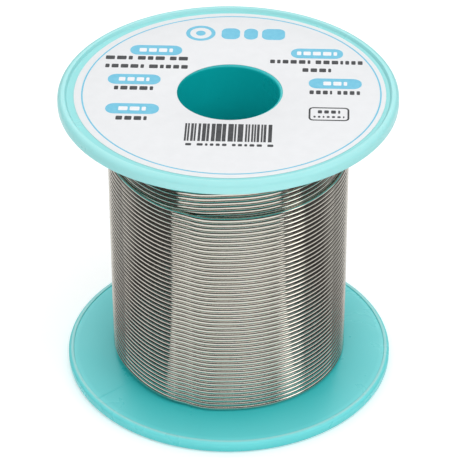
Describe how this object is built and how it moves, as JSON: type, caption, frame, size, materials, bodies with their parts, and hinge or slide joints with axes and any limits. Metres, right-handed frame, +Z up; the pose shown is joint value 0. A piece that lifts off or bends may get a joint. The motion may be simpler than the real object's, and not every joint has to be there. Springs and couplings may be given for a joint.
{
  "type": "solder wire spool",
  "caption": "Flanged plastic reel wound with flux-cored solder wire in close turns, with a round label in its upper flange and a through bore for a spindle.",
  "frame": {"origin": "centre of the reel's axis on the plane that the lower flange's rim stands on", "axes": "+Z up along the bore's axis, towards the labelled flange; -Y is the side that the label reads from"},
  "size_m": [0.065, 0.065, 0.0626],
  "materials": {
    "spool_plastic": "semi-gloss moulded polystyrene in mint turquoise",
    "solder_wire": null,
    "flux_resin": "amber rosin",
    "label_film": "white printed film, satin"
  },
  "bodies": {
    "root": {"spool_lower_half": "spool_plastic", "spool_upper_half": "spool_plastic", "wire_layer_inner": "solder_wire", "wire_layer_middle": "solder_wire", "wire_layer_outer": "solder_wire", "wire_anchor_end": "solder_wire", "wire_free_end": "solder_wire", "flux_core": "flux_resin", "face_label": "label_film"}
  },
  "joints": []
}
